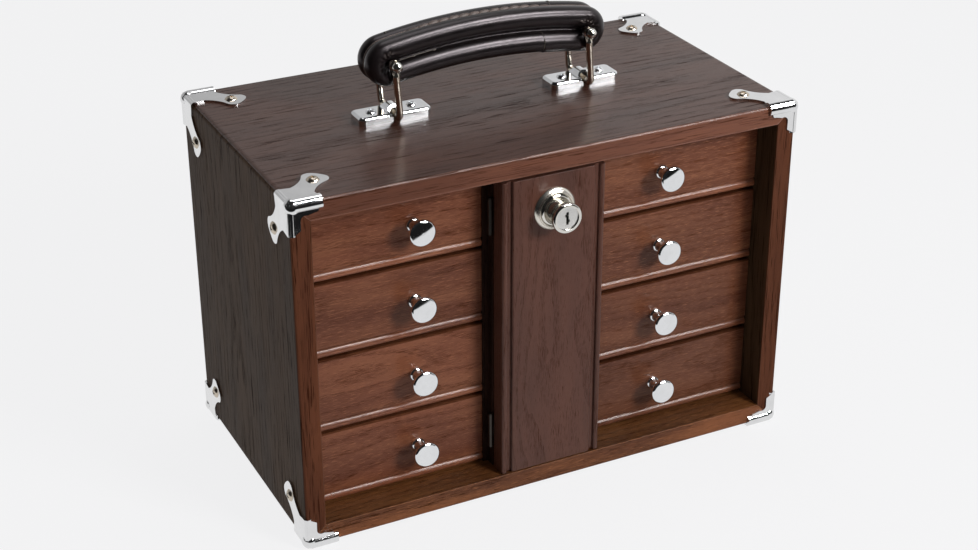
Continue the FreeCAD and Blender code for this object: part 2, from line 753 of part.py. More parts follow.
def handle():
    """Grip of two stuffed rolls, each going round the handle's end, over a steel strap with two pins."""
    feet = handle_points()
    centre = V(pin_dx, feet[0].y, pin_z)
    middle = centre - V(0, 0, grip_drop)
    half = bracket_x + grip_end_offset
    radius = (half ** 2 + grip_crown ** 2) / (2 * grip_crown)
    tilt = math.asin(half / radius)
    tubes = []
    for row in (-1, 1):
        y = row * grip_roll_y
        tubes.append(arched(middle, half, grip_roll_rise, y, grip_roll_radius))
        tubes.append(arched(middle, half, -grip_roll_rise, y, grip_roll_radius))
        for side in (-1, 1):
            end = middle + V(side * half, y, 0)
            up = V(side * math.sin(tilt), 0, math.cos(tilt))
            across = V(up.z, 0, -up.x)
            ring = Part.Face(Part.Wire(Part.makeCircle(grip_roll_radius, end + up * grip_roll_rise, across)))
            tubes.append(ring.revolve(end, V(0, side, 0), 180))
    web = arch_slab(middle, half, grip_roll_rise, grip_roll_rise, grip_web_half * 2)
    pins = [cross_pin(centre + V(side * bracket_x, 0, 0)) for side in (-1, 1)]
    bores = Part.makeCompound([
        rod(V(p.x, p.y - bail_y * 2, p.z), V(p.x, p.y + bail_y * 2, p.z), handle_pin_radius)
        for p in [centre + V(side * bracket_x, 0, 0) for side in (-1, 1)]])
    strap = arch_slab(middle, half, strap_height / 2, strap_height / 2, strap_thickness)
    strap = strap.cut(bores)
    grip = tubes[0].multiFuse(tubes[1:] + [web]).cut(bores).cut(strap)
    save("handle_grip", grip)
    save("handle_strap", strap)
    save("handle_pins", pins)
    save("bail_left", bail(feet[0]))
    save("bail_right", bail(feet[1]))


def main():
    """Build every node."""
    domed = protector_screws()
    pans = bracket_screws()
    screws = Part.makeCompound(domed + pans)
    case_boards(screws)
    save("corner_protectors", [p.cut(screws) for p in at_corners(protector)])
    save("fixing_screws", domed + pans)
    save("handle_brackets", [bracket(foot).cut(screws) for foot in handle_points()])

    post_screws = hinge_screws(False)
    door_screws = hinge_screws(True)
    partitions_and_posts(Part.makeCompound(post_screws))
    save("drawer_runners", runners())
    for column, side in (("left", -1), ("right", 1)):
        for row in range(row_count):
            drawer(column, side, row)

    fixed_holes = Part.makeCompound(post_screws)
    moving_holes = Part.makeCompound(door_screws)
    save("hinge_leaves_post", [hinge_leaf(low, False).cut(fixed_holes) for low in hinge_heights()])
    save("hinge_leaves_door", [hinge_leaf(low, True).cut(moving_holes) for low in hinge_heights()])
    save("hinge_pins", [hinge_pin(low) for low in hinge_heights()])
    save("hinge_screws_post", post_screws)
    save("hinge_screws_door", door_screws)

    tube = rod(V(door_centre_x, door_y, lock_z), V(door_centre_x, door_back_y, lock_z), barrel_radius)
    save("door", door_panel(Part.makeCompound(door_screws)).cut(tube))
    save("lock_barrel", lock_barrel())
    save("lock_rosette", lock_rosette())
    save("lock_nut", lock_nut())
    seat = V(door_centre_x, cam_y + cam_thickness, lock_z)
    cam_screw = screw(seat, V(0, 1, 0), tail_radius, pan_height, pan_shank, pan_length)
    save("lock_plug", lock_plug().cut(cam_screw))
    save("lock_cam", lock_cam())
    save("lock_cam_screw", cam_screw)
    handle()


main()
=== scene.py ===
"""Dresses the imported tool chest: stained open-grained wood, plated metal, a leather double-roll grip, and the
plain studio around it."""
import bpy
import bmesh
import math
import numpy as np
from mathutils import Matrix, Vector


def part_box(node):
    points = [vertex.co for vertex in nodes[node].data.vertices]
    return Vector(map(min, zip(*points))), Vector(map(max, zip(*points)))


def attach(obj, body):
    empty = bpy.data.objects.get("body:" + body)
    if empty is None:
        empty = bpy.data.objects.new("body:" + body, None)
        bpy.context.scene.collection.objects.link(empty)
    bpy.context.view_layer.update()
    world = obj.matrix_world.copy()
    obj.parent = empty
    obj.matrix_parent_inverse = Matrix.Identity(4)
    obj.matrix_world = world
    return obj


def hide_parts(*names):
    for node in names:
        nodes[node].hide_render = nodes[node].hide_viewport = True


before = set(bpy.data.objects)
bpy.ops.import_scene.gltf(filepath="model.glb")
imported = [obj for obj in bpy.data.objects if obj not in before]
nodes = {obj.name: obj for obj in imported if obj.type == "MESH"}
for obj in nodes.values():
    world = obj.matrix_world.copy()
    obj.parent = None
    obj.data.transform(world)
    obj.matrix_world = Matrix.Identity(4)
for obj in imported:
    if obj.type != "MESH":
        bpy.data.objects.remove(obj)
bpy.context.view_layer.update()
MM = 0.001

# The camera's forward direction on the floor, which the studio is laid out along.
FORWARD = (0.44488, 0.89558, 0.0)


class Graph:
    """A node tree of a material or world, with short calls for the nodes used here."""

    def __init__(self, name, owner=None):
        self.material = owner or bpy.data.materials.new(name)
        self.material.use_nodes = True
        self.tree = self.material.node_tree
        self.tree.nodes.clear()
        self.out = self.tree.nodes.new("ShaderNodeOutputWorld" if owner else "ShaderNodeOutputMaterial")

    def fill(self, socket, value):
        """Links a value that comes from another node, or sets a fixed one."""
        if isinstance(value, bpy.types.NodeSocket):
            self.tree.links.new(value, socket)
        else:
            socket.default_value = value

    def node(self, kind, inputs=None, **settings):
        n = self.tree.nodes.new("ShaderNode" + kind)
        for key, value in settings.items():
            setattr(n, key, value)
        for key, value in (inputs or {}).items():
            self.fill(n.inputs[key], value)
        return n

    def noise(self, vector, detail, rough, distortion=0.0, output="Fac"):
        return self.node("TexNoise", {"Vector": vector, "Scale": 1.0, "Detail": detail,
                                      "Roughness": rough, "Distortion": distortion}).outputs[output]

    def ramp(self, value, stops):
        """Grey levels from 0 to 1 at the given places, straight between them."""
        n = self.node("ValToRGB", {"Fac": value})
        band = n.color_ramp
        while len(band.elements) < len(stops):
            band.elements.new(0.5)
        for e, (place, level) in zip(band.elements, stops):
            e.position = place
            e.color = (level, level, level, 1)
        return n.outputs["Color"]

    def math(self, operation, a, b=0.0, c=0.0):
        return self.node("Math", {0: a, 1: b, 2: c}, operation=operation).outputs[0]

    def vector(self, operation, a, b=(0.0, 0.0, 0.0), output=0):
        return self.node("VectorMath", {0: a, 1: b}, operation=operation).outputs[output]

    def stretch(self, vector, x, y, z):
        return self.vector("MULTIPLY", vector, (x, y, z))

    def mix(self, factor, a, b, blend="MIX"):
        """Two colours mixed, each a link or a plain colour of three numbers."""
        n = self.node("Mix", data_type="RGBA", blend_type=blend)
        self.fill(n.inputs[0], factor)
        for key, colour in ((6, a), (7, b)):
            self.fill(n.inputs[key], colour if isinstance(colour, bpy.types.NodeSocket) else (*colour, 1))
        return n.outputs[2]

    def step(self, value, low, high):
        """0 at low, 1 at high, smooth between. low may be the larger of the two."""
        return self.node("MapRange", {"Value": value, "From Min": low, "From Max": high},
                         interpolation_type="SMOOTHSTEP").outputs[0]

    def bump(self, height, strength, distance, normal=None):
        inputs = {"Height": height, "Strength": strength, "Distance": distance}
        if normal is not None:
            inputs["Normal"] = normal
        return self.node("Bump", inputs).outputs["Normal"]

    def rounded(self, radius):
        """A normal that turns softly over the edges."""
        return self.node("Bevel", {"Radius": radius}, samples=6).outputs["Normal"]

    def finish(self, **inputs):
        shader = self.node("BsdfPrincipled", {k.replace("_", " "): v for k, v in inputs.items()})
        self.tree.links.new(shader.outputs[0], self.out.inputs["Surface"])
        return self.material


def srgb(r, g, b):
    """A colour as it is seen, 0 to 255, as linear numbers."""
    return tuple(((c / 255) / 12.92 if c <= 10 else (((c / 255) + 0.055) / 1.055) ** 2.4) for c in (r, g, b))


def shade(colour, factor):
    """A linear colour made darker or lighter."""
    return tuple(min(1.0, c * factor) for c in colour)


# The turn that lays the grain's axis along x.
GRAIN_TURN = {"x": (0, 0, 0), "z": (0, math.pi / 2, 0), "y": (0, 0, -math.pi / 2)}
# How far the growth rings wander across the grain, in a slow sweep and in a quick ripple, in metres.
SWEEP, RIPPLE = 0.022, 0.0022
# The tree's heart line leans to the board by these angles, and its rings are drawn out along it.
HEART_LEAN = (0, 0.05, 0.07)
HEART_DRAW = (0.04, 1, 1)
# The share of open early wood over one growth ring.
EARLY_WOOD = [(0.0, 0.75), (0.06, 1.0), (0.24, 0.75), (0.55, 0.1), (0.97, 0.0)]
# Fineness of the pores and of the fibres between them, along the grain and across it, per metre.
PORES, FIBRES = (48, 1150), (85, 2300)
# The bead of a drawer front is painted lighter, a painted highlight, and the strip under the next front is
# painted darker, a painted shade.
BEAD_PAINTED_HIGHLIGHT = (1.3, 1.27, 1.25)
PAINTED_SHADE_TINT = (0.5, 0.5, 0.5)
COAT_ROUGHNESS = 0.26


def wood(name, along, dark, middle, light, seed, edge, pith=(0.02, 0.07), pitch=5.0, pores=1.0, gloss=0.42,
         fine=1.0, flecks=0.3, shine=0.20, lacquer=0.30, rubbed=0.0, long=1.0, face=None, crest=None):
    """Stained open-grained board, in three tones of one stain.

    along: the grain's axis. seed: which part of the figure is used. pith: the place of the tree's heart across
    the grain, in metres. pitch: the width of a growth ring in millimetres. edge: the radius of the worn edges
    in millimetres, and rubbed how much paler they are, as wear and as a painted highlight. pores, flecks: how
    strong the dark pores and the pale flecks are. fine: more makes both shorter and thinner, long draws them
    out. gloss, shine, lacquer: how rough the stain is, how much it reflects and how much lacquer is on it; the
    open pores are bare of lacquer.
    face: the tint of the narrow front face, and that face's place along y. crest: the top of the polished bead,
    and of the board above it."""
    g = Graph(name)
    place = g.node("TexCoord").outputs["Object"]
    turned = g.node("Mapping", {"Vector": place, "Rotation": GRAIN_TURN[along]}).outputs["Vector"]
    grain = g.vector("ADD", turned, (seed * 0.37, seed * 0.61, seed * 0.23))

    def wander(lengthwise, crosswise, rough, size):
        shift = g.noise(g.stretch(grain, lengthwise, crosswise, crosswise), 2.0, rough, output="Color")
        return g.stretch(g.vector("SUBTRACT", shift, (0.5, 0.5, 0.5)), 0, size, size)

    def strands(scale, detail, rough):
        return g.noise(g.stretch(grain, scale[0] * fine / long, scale[1] * fine, scale[1] * fine), detail, rough)

    # Growth rings: the distance from a heart line that leans and wanders a little.
    sweep = wander(4.5, 16, 0.5, SWEEP)
    ripple = wander(30, 120, 0.55, RIPPLE)
    heart = g.node("Mapping", {"Vector": turned, "Location": (0, pith[0], pith[1]),
                               "Rotation": HEART_LEAN, "Scale": HEART_DRAW}).outputs["Vector"]
    heart = g.vector("ADD", g.vector("ADD", heart, sweep), ripple)
    reach = g.vector("LENGTH", heart, output=1)
    ring = g.math("FRACT", g.math("MULTIPLY", reach, 1000.0 / pitch))
    early = g.ramp(ring, EARLY_WOOD)

    # Open pores lie thick in the early wood; fine fibres and pale flecks lie everywhere.
    wide = strands(PORES, 2.0, 0.6)
    narrow = strands(FIBRES, 1.0, 0.5)
    level = g.math("MULTIPLY_ADD", early, -0.11, 0.67)
    big = g.step(g.math("SUBTRACT", wide, level), 0.0, 0.035)
    small = g.step(g.math("SUBTRACT", narrow, g.math("SUBTRACT", level, 0.02)), 0.0, 0.04)
    open_grain = g.math("MAXIMUM", big, g.math("MULTIPLY", small, 0.7))
    fleck = g.step(narrow, 0.41, 0.30)

    # Colour: soft clouds and patches of stain, then rings, flecks and pores on top.
    cloud = g.noise(g.stretch(grain, 5, 28, 28), 3.0, 0.55, 0.4)
    patch = g.noise(g.stretch(grain, 11, 60, 60), 2.0, 0.5)
    colour = g.mix(g.step(cloud, 0.30, 0.70), dark, middle)
    colour = g.mix(g.math("MULTIPLY", g.step(patch, 0.40, 0.75), 0.35), colour, light)
    colour = g.mix(g.math("MULTIPLY", early, 0.16), colour, shade(dark, 0.62))
    colour = g.mix(g.math("MULTIPLY", fleck, flecks), colour, shade(light, 1.3))
    colour = g.mix(g.math("MULTIPLY", open_grain, 0.75 * pores), colour, shade(dark, 0.28))

    position = g.node("SeparateXYZ", {0: place})
    # Painted light: the narrow front face is tinted apart from the rest of the same board, as its faces take the
    # light differently.
    if face:
        tint, front = face
        ahead = g.step(position.outputs["Y"], front + 1.6 * MM, front + 0.6 * MM)
        colour = g.mix(ahead, colour, g.mix(1.0, colour, tint, "MULTIPLY"))
    # Painted highlight on the bead, and painted shade on the top strip of the front, under the front above; the
    # bead also takes more lacquer, the shaded strip none.
    if crest:
        bead_top, board_top = crest
        bead = g.step(position.outputs["Z"], bead_top + 0.2 * MM, bead_top - 0.2 * MM)
        below = g.step(position.outputs["Z"], board_top - 0.8 * MM, board_top - 1.6 * MM)
        colour = g.mix(bead, colour, g.mix(1.0, colour, BEAD_PAINTED_HIGHLIGHT, "MULTIPLY"))
        colour = g.mix(below, g.mix(1.0, colour, PAINTED_SHADE_TINT, "MULTIPLY"), colour)

    # Worn edges with a painted highlight: where the rounded normal turns away from the flat one, paler and more
    # lacquered.
    soft = g.rounded(edge * MM)
    turn = g.vector("DOT_PRODUCT", soft, g.node("NewGeometry").outputs["Normal"], output=1)
    corner = g.step(turn, 0.985, 0.80)
    if face:
        corner = g.math("MULTIPLY", corner, g.step(position.outputs["Y"], front + 4.0 * MM, front + 3.0 * MM))
    if rubbed:
        colour = g.mix(g.math("MULTIPLY", corner, rubbed), colour, shade(light, 2.8))

    height = g.math("SUBTRACT", g.math("MULTIPLY", wide, 0.30), open_grain)
    normal = g.bump(height, 0.35 * pores, 0.00020, soft)
    rough = g.math("MULTIPLY_ADD", cloud, 0.10, gloss - 0.05)
    bare = g.math("MULTIPLY_ADD", open_grain, -0.9, 1.0)
    coat_share = g.math("MAXIMUM", g.math("MULTIPLY", bare, lacquer),
                        g.math("MULTIPLY", corner, min(1.0, rubbed * 2.0)))
    if crest:
        coat_share = g.math("MULTIPLY", g.math("MAXIMUM", coat_share, g.math("MULTIPLY", bead, 0.6)), below)
        bare = g.math("MULTIPLY", bare, below)
    return g.finish(Base_Color=colour, Roughness=rough, Normal=normal,
                    Specular_IOR_Level=g.math("MULTIPLY", bare, shine),
                    Coat_Weight=coat_share, Coat_Roughness=COAT_ROUGHNESS)


def plated(name, colour, rough, ripple=0.0, worn=0.05, inner=None):
    """Bright plated metal, very slightly uneven, a little duller in patches. inner is the colour of the pieces
    nearer the middle of the chest."""
    g = Graph(name)
    place = g.node("TexCoord").outputs["Object"]
    cloud = g.noise(g.stretch(place, 90, 90, 90), 3.0, 0.6)
    tone = g.mix(g.step(cloud, 0.3, 0.7), shade(colour, 0.95), colour)
    if inner:
        aside = g.math("ABSOLUTE", g.node("SeparateXYZ", {0: place}).outputs["X"])
        tone = g.mix(g.step(aside, 0.110, 0.115), inner, tone)
    dull = g.math("MULTIPLY_ADD", g.step(cloud, 0.45, 0.8), worn, rough)
    inputs = {"Base_Color": tone, "Metallic": 1.0, "Roughness": dull}
    if ripple:
        inputs["Normal"] = g.bump(g.noise(g.stretch(place, 70, 70, 70), 2.0, 0.5), ripple, 0.0006)
    return g.finish(**inputs)


def brushed(name, colour, rough):
    """Metal with fine brush lines along x."""
    g = Graph(name)
    place = g.node("TexCoord").outputs["Object"]
    lines = g.noise(g.stretch(place, 60, 5200, 5200), 2.0, 0.7)
    tone = g.mix(g.step(lines, 0.3, 0.7), shade(colour, 0.82), colour)
    return g.finish(Base_Color=tone, Metallic=1.0, Roughness=g.math("MULTIPLY_ADD", lines, 0.12, rough),
                    Normal=g.bump(lines, 0.12, 0.0001))


def leather(name, base, rubbed, rough):
    """Smooth black leather: a faint pebble, a soft gloss, browner where it is rubbed, and painted shade in its
    creases, which are darker and duller.
    """
    g = Graph(name)
    place = g.node("TexCoord").outputs["Object"]
    cells = g.node("TexVoronoi", {"Vector": place, "Scale": 1500.0}, feature="SMOOTH_F1").outputs["Distance"]
    broad = g.noise(g.stretch(place, 110, 110, 110), 4.0, 0.6)
    crinkle = g.noise(g.stretch(place, 420, 420, 420), 3.0, 0.6)
    tone = g.mix(g.step(broad, 0.32, 0.72), base, rubbed)
    # Painted shade: the leather is darkened and its gloss taken away where the surface is hollow, in creases and
    # pleats.
    outside_crease_shade = g.step(g.node("NewGeometry").outputs["Pointiness"], 0.43, 0.495)
    tone = g.mix(outside_crease_shade, shade(base, 0.35), tone)
    height = g.math("ADD", g.math("MULTIPLY", cells, 0.5), g.math("MULTIPLY", crinkle, 0.8))
    return g.finish(Base_Color=tone, Roughness=g.math("MULTIPLY_ADD", broad, 0.16, rough - 0.08),
                    Normal=g.bump(height, 0.22, 0.00022), Specular_IOR_Level=g.math("MULTIPLY", outside_crease_shade, 0.45),
                    Specular_Tint=(1.0, 0.90, 0.94, 1.0))


def thread(name, colour):
    """Waxed thread: a fine twist in colour and height."""
    g = Graph(name)
    place = g.node("TexCoord").outputs["Object"]
    twist = g.noise(g.stretch(place, 2600, 900, 900), 2.0, 0.6)
    tone = g.mix(g.step(twist, 0.35, 0.65), shade(colour, 0.6), colour)
    return g.finish(Base_Color=tone, Roughness=0.55, Normal=g.bump(twist, 0.5, 0.0002))


WALNUT = dict(dark=srgb(90, 48, 30), middle=srgb(115, 67, 45), light=srgb(142, 91, 63))
TOP = dict(dark=srgb(66, 39, 29), middle=srgb(80, 48, 36), light=srgb(96, 60, 44))
# The bottom board is painted lighter and warmer than the others: painted light, where its inner floor catches the
# light in front of the drawers.
LIT_BASE = dict(dark=srgb(84, 50, 26), middle=srgb(117, 72, 39), light=srgb(150, 101, 60))
SIDE = dict(dark=srgb(60, 42, 28), middle=srgb(72, 52, 35), light=srgb(86, 64, 45))
# The partitions and door posts are painted nearly black: painted shade in the recesses round the door.
INNER = dict(dark=srgb(34, 20, 15), middle=srgb(44, 26, 19), light=srgb(52, 32, 24))
DOOR = dict(dark=srgb(70, 42, 33), middle=srgb(82, 49, 38), light=srgb(92, 57, 44))
UNSTAINED = dict(dark=srgb(150, 112, 78), middle=srgb(176, 138, 100), light=srgb(190, 152, 112))


def front_of(name):
    """The place along y of a piece's front face."""
    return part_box(name)[0][1]


case_top = wood("stain_case_top", "x", seed=1.0, edge=1.9, pith=(0.02, -0.19), pitch=4.6, gloss=0.40, flecks=0.15,
                pores=0.9, rubbed=0.8, long=1.6, shine=0.25, lacquer=0.34,
                face=((1.66, 1.42, 1.14), front_of("case_top")), **TOP)
lit_case_base = wood("stain_and_light_case_bottom", "x", seed=2.2, edge=1.0, pith=(-0.05, 0.04), fine=1.5, flecks=0.5,
                 shine=0.14, lacquer=0.15, rubbed=0.2,
                 face=((0.92, 0.80, 0.84), front_of("case_bottom")), **LIT_BASE)
case_side = wood("stain_case_side", "z", seed=3.1, edge=1.3, pith=(-0.03, -0.14), pitch=4.2, flecks=0.15,
                 gloss=0.55, pores=1.1, shine=0.08, lacquer=0.0, rubbed=0.1, long=1.6,
                 face=((1.55, 0.95, 0.85), front_of("case_side_left")), **SIDE)
shaded_case_inner = wood("stain_and_shade_case_inner", "z", seed=4.7, edge=0.8, pith=(0.12, 0.05), pitch=4.4, fine=1.6,
                  shine=0.08, lacquer=0.0, **INNER)
door_wood = wood("stain_door", "z", seed=6.3, edge=0.8, pith=(0.15, 0.01), pitch=3.0, pores=0.6, fine=2.0,
                 flecks=0.15, lacquer=0.2, rubbed=0.15, **DOOR)
plain = wood("plain_wood", "y", seed=5.0, edge=0.4, pores=0.5, gloss=0.55, fine=1.5, **UNSTAINED)

chrome = plated("bright_plate", srgb(232, 233, 235), 0.045, ripple=0.10)
stamped = plated("stamped_plate", srgb(230, 230, 231), 0.09, ripple=0.35, worn=0.10)
screw_plate = plated("screw_plate", srgb(200, 189, 174), 0.20, inner=srgb(232, 233, 235))
warm_plate = plated("warm_plate", srgb(226, 217, 204), 0.07, ripple=0.10)
nickel = plated("nickel_plate", srgb(222, 219, 213), 0.07, worn=0.02)
satin = plated("satin_nickel", srgb(226, 221, 211), 0.24, worn=0.03)
lock_face = brushed("lock_face", srgb(247, 246, 243), 0.18)
# Dark steel, darkened beyond its own colour as painted shade for the hinges in the door's shadow.
steel = plated("plain_steel", srgb(70, 65, 61), 0.38)
hide = leather("black_leather", srgb(13, 9, 9), srgb(21, 15, 16), 0.31)
lace = thread("lace", srgb(104, 88, 81))
seam_thread = thread("seam_thread", srgb(108, 99, 90))


def coat(name, material):
    """Gives a CAD node its material."""
    slots = nodes[name].data.materials
    slots.clear()
    slots.append(material)


for material, names in (
        (case_top, ("case_top", "case_back")),
        (lit_case_base, ("case_bottom",)),
        (case_side, ("case_side_left", "case_side_right")),
        (shaded_case_inner, ("partitions", "door_posts")),
        (door_wood, ("door",)),
        (plain, ("drawer_runners",)),
        (stamped, ("corner_protectors",)),
        (screw_plate, ("fixing_screws",)),
        (chrome, ("handle_brackets",)),
        (warm_plate, ("bail_left", "bail_right")),
        (nickel, ("handle_pins", "lock_barrel", "lock_nut", "lock_cam")),
        (satin, ("lock_rosette",)),
        (lock_face, ("lock_plug",)),
        (steel, ("hinge_leaves_post", "hinge_leaves_door", "hinge_screws_post", "hinge_screws_door",
                 "hinge_pins", "handle_strap", "lock_cam_screw"))):
    for name in names:
        coat(name, material)

# For each column of drawers: where its figure starts, how light each front is, from the bottom up (in the right
# column painted shade, darker towards the bottom), and how strong its flecks and pores are.
COLUMNS = {
    "left": (0.0, (1.02, 0.96, 0.92, 1.02), 0.5, 0.8),
    "right": (5.3, (0.58, 0.72, 0.76, 0.82), 0.8, 0.45),
}
BEAD_HEIGHT = 5.6
for column, (start, stain_and_shade_levels, flecks, pores) in COLUMNS.items():
    for row, stain in enumerate(stain_and_shade_levels, 1):
        drawer = f"drawer_{column}_{row}"
        number = start + row * 1.7
        heart = (0.16 + 0.02 * math.sin(number * 5), -0.04 * row + 0.03 * math.cos(number * 3))
        low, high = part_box(f"{drawer}_front")
        # The front's tones are scaled by its level, which in the right column is painted shade.
        tones = {key: shade(colour, stain) for key, colour in WALNUT.items()}
        front = wood(f"stain_{drawer}", "x", seed=10.0 + number, edge=0.7, pith=heart,
                     pitch=3.6 + 0.5 * math.sin(number * 7), fine=1.9, flecks=flecks, pores=pores,
                     shine=0.16, lacquer=0.24, crest=(low[2] + BEAD_HEIGHT * MM, high[2]), **tones)
        coat(f"{drawer}_front", front)
        coat(f"{drawer}_box", plain)
        coat(f"{drawer}_bottom", plain)
        coat(f"{drawer}_knob", chrome)


# The grip: two padded rolls side by side, each bent into a long loop that is pinched shut along its middle.
# Its sizes are in millimetres about its middle, which lies a little below the pins.
PIN_X = 68.5
PIN_Z = 1.0
pin_low, pin_high = (Vector(v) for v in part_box("handle_pins"))
GRIP_CENTRE = (pin_low + pin_high) / 2 - Vector((0, 0, PIN_Z)) * MM
GRIP_HALF = 69.7
GRIP_CROWN = 6.5
ROLL_RISE = 8.3
ROLL_RADIUS = 6.8
ROLL_INNER = 7.1
ROLL_SPACING = 5.2
ROLL_SIDES = 26
WEB_HALF = 5.4
GRIP_VOXEL = 0.6
# The arc that the grip's middle line follows, and the height of its centre.
ARC_RADIUS = (GRIP_HALF ** 2 + GRIP_CROWN ** 2) / (2 * GRIP_CROWN)
ARC_ANGLE = math.asin(GRIP_HALF / ARC_RADIUS)
HUB_Z = GRIP_CROWN - ARC_RADIUS
ARC_STEPS, END_STEPS = 56, 18


def loop_point(angle, part):
    """A point of the loop's centre line and its outward direction, in millimetres about the grip's middle. The
    angle is from straight up on the upper and lower arcs, and from where the loop enters it on an end."""
    if part in ("upper", "lower"):
        out = 1 if part == "upper" else -1
        radius = ARC_RADIUS + out * ROLL_RISE
        n = (math.sin(angle), math.cos(angle))
        return radius * n[0], HUB_Z + radius * n[1], (out * n[0], out * n[1])
    side = 1 if part == "right" else -1
    start = ARC_ANGLE if side > 0 else math.pi - ARC_ANGLE
    n = (math.sin(start + angle), math.cos(start + angle))
    return side * GRIP_HALF + ROLL_RISE * n[0], ROLL_RISE * n[1], n


def loop_points():
    """The whole loop, once round."""
    along = [2 * ARC_ANGLE * i / ARC_STEPS for i in range(ARC_STEPS)]
    about = [math.pi * i / END_STEPS for i in range(END_STEPS)]
    points = [loop_point(-ARC_ANGLE + a, "upper") for a in along]
    points += [loop_point(a, "right") for a in about]
    points += [loop_point(ARC_ANGLE - a, "lower") for a in along]
    points += [loop_point(a, "left") for a in about]
    return points


def upper_point(x):
    """The point of the upper arc at a place along the grip."""
    return loop_point(math.asin(x / (ARC_RADIUS + ROLL_RISE)), "upper")


def arc_z(x, rise=0.0):
    """Height at x of an arc that lies rise above the grip's middle line."""
    return HUB_Z + math.sqrt((ARC_RADIUS + rise) ** 2 - x ** 2)


def at_grip(x, y, z):
    """Millimetres about the grip's middle as a place in metres."""
    return GRIP_CENTRE + Vector((x, y, z)) * MM


def even(first, last, count):
    """Numbers from first to last in even steps."""
    return [first + (last - first) * i / (count - 1) for i in range(count)]


def shown(mesh, material):
    """Puts a mesh in the scene, smooth and in one material, as an object of the same name."""
    obj = bpy.data.objects.new(mesh.name, mesh)
    bpy.context.scene.collection.objects.link(obj)
    mesh.materials.clear()
    mesh.materials.append(material)
    for polygon in mesh.polygons:
        polygon.use_smooth = True
    return obj


def new_mesh(name, verts, faces, material):
    """An object in the scene from vertices in metres and faces."""
    mesh = bpy.data.meshes.new(name)
    mesh.from_pydata([tuple(v) for v in verts], [], faces)
    mesh.update()
    return shown(mesh, material)


def bands(rows, sides, closed=False):
    """Quads between rings of vertices that follow one another. closed joins the last ring to the first."""
    faces = []
    for i in range(rows if closed else rows - 1):
        j = (i + 1) % rows
        for k in range(sides):
            m = (k + 1) % sides
            faces.append((i * sides + k, i * sides + m, j * sides + m, j * sides + k))
    return faces


def tube(points, radius, sides):
    """Vertices and faces of a round tube along points in metres, with narrowed, closed ends."""
    verts = []
    last = len(points) - 1
    for i, p in enumerate(points):
        t = (points[min(i + 1, last)] - points[max(i - 1, 0)]).normalized()
        u = t.cross(Vector((0.0, 1.0, 0.0)))
        u = (u if u.length > 0.1 else t.cross(Vector((1.0, 0.0, 0.0)))).normalized()
        w = t.cross(u)
        r = radius if 0 < i < last else radius * 0.35
        for k in range(sides):
            a = 2 * math.pi * k / sides
            verts.append(p + (u * math.cos(a) + w * math.sin(a)) * r)
    faces = bands(last + 1, sides)
    faces.append(tuple(range(sides)))
    faces.append(tuple(last * sides + k for k in reversed(range(sides))))
    return verts, faces


def merged(parts):
    """Several (vertices, faces) pairs as one."""
    verts, faces = [], []
    for more_verts, more_faces in parts:
        start = len(verts)
        verts += more_verts
        faces += [tuple(i + start for i in f) for f in more_faces]
    return verts, faces


def roll(y):
    """One padded roll as a closed tube, fuller towards the loop's inside."""
    points = loop_points()
    verts = []
    for x, z, n in points:
        for k in range(ROLL_SIDES):
            a = 2 * math.pi * k / ROLL_SIDES
            out = math.cos(a) * (ROLL_RADIUS if math.cos(a) > 0 else ROLL_INNER)
            verts.append(at_grip(x + n[0] * out, y + math.sin(a) * ROLL_RADIUS, z + n[1] * out))
    return verts, [(a, d, c, b) for a, b, c, d in bands(len(points), ROLL_SIDES, closed=True)]


def web():
    """The filling between the rolls."""
    points = loop_points()
    count = len(points)
    verts = [at_grip(x, side * WEB_HALF, z) for side in (-1, 1) for x, z, _ in points]
    faces = [tuple(range(count)), tuple(reversed(range(count, 2 * count)))]
    faces += [(i, i + count, (i + 1) % count + count, (i + 1) % count) for i in range(count)]
    return verts, faces


# Pleats in the leather round each pin, and the hollow that the pin's head pulls into it.
PLEATS = 16
PLEAT_RING, PLEAT_SPREAD, PLEAT_DEPTH = 6.6, 2.4, 0.9
HOLLOW_SPREAD, HOLLOW_DEPTH = 4.2, 1.8
# The lap where the lower front roll is wrapped once more: its edge, the end and length of its run-out, its rise.
LAP_X = 38.0
LAP_END, LAP_FADE = 64.0, 24.0
LAP_THICKNESS = 0.45


def share(value, span):
    """0 to 1 as the value goes from 0 to the span."""
    return np.clip(value / span, 0, 1)


def pinched(co):
    """Gathers the leather in pleats round each pin, sinks it where the pin goes through, and raises the lap."""
    local = (co - np.array(GRIP_CENTRE)) / MM
    x, y, z = local.T
    flank = share(np.abs(y) - 3.0, 3.0)
    toward = np.sign(y)
    shift = np.zeros_like(local)
    for side in (-1, 1):
        dx = x - side * PIN_X
        dz = z - PIN_Z
        reach = np.hypot(dx, dz)
        turn = np.arctan2(dz, dx * side)
        outer = share(np.cos(turn) + 0.35, 0.5)
        band = np.exp(-((reach - PLEAT_RING) / PLEAT_SPREAD) ** 2)
        wave = 0.5 + 0.5 * np.cos(turn * PLEATS + 0.9 * np.sin(3 * turn + side))
        wave = wave ** 0.6
        shift[:, 1] -= toward * flank * outer * band * (1 - wave) * PLEAT_DEPTH
        sink = np.exp(-(reach / HOLLOW_SPREAD) ** 2)
        shift[:, 1] -= toward * flank * sink * HOLLOW_DEPTH
    roll_z = HUB_Z + np.sqrt((ARC_RADIUS - ROLL_RISE) ** 2 - x ** 2)
    lower_front = share(5.0 - (z - roll_z), 5.0) * share(1.0 - y, 2.0)
    wrapped = share(x - LAP_X, 0.5) * share(LAP_END - x, LAP_FADE)
    away = np.stack([np.zeros_like(x), y + ROLL_SPACING, z - roll_z], axis=1)
    away /= np.maximum(np.linalg.norm(away, axis=1), 0.001)[:, None]
    shift += away * (lower_front * wrapped * LAP_THICKNESS)[:, None]
    return co + shift * MM


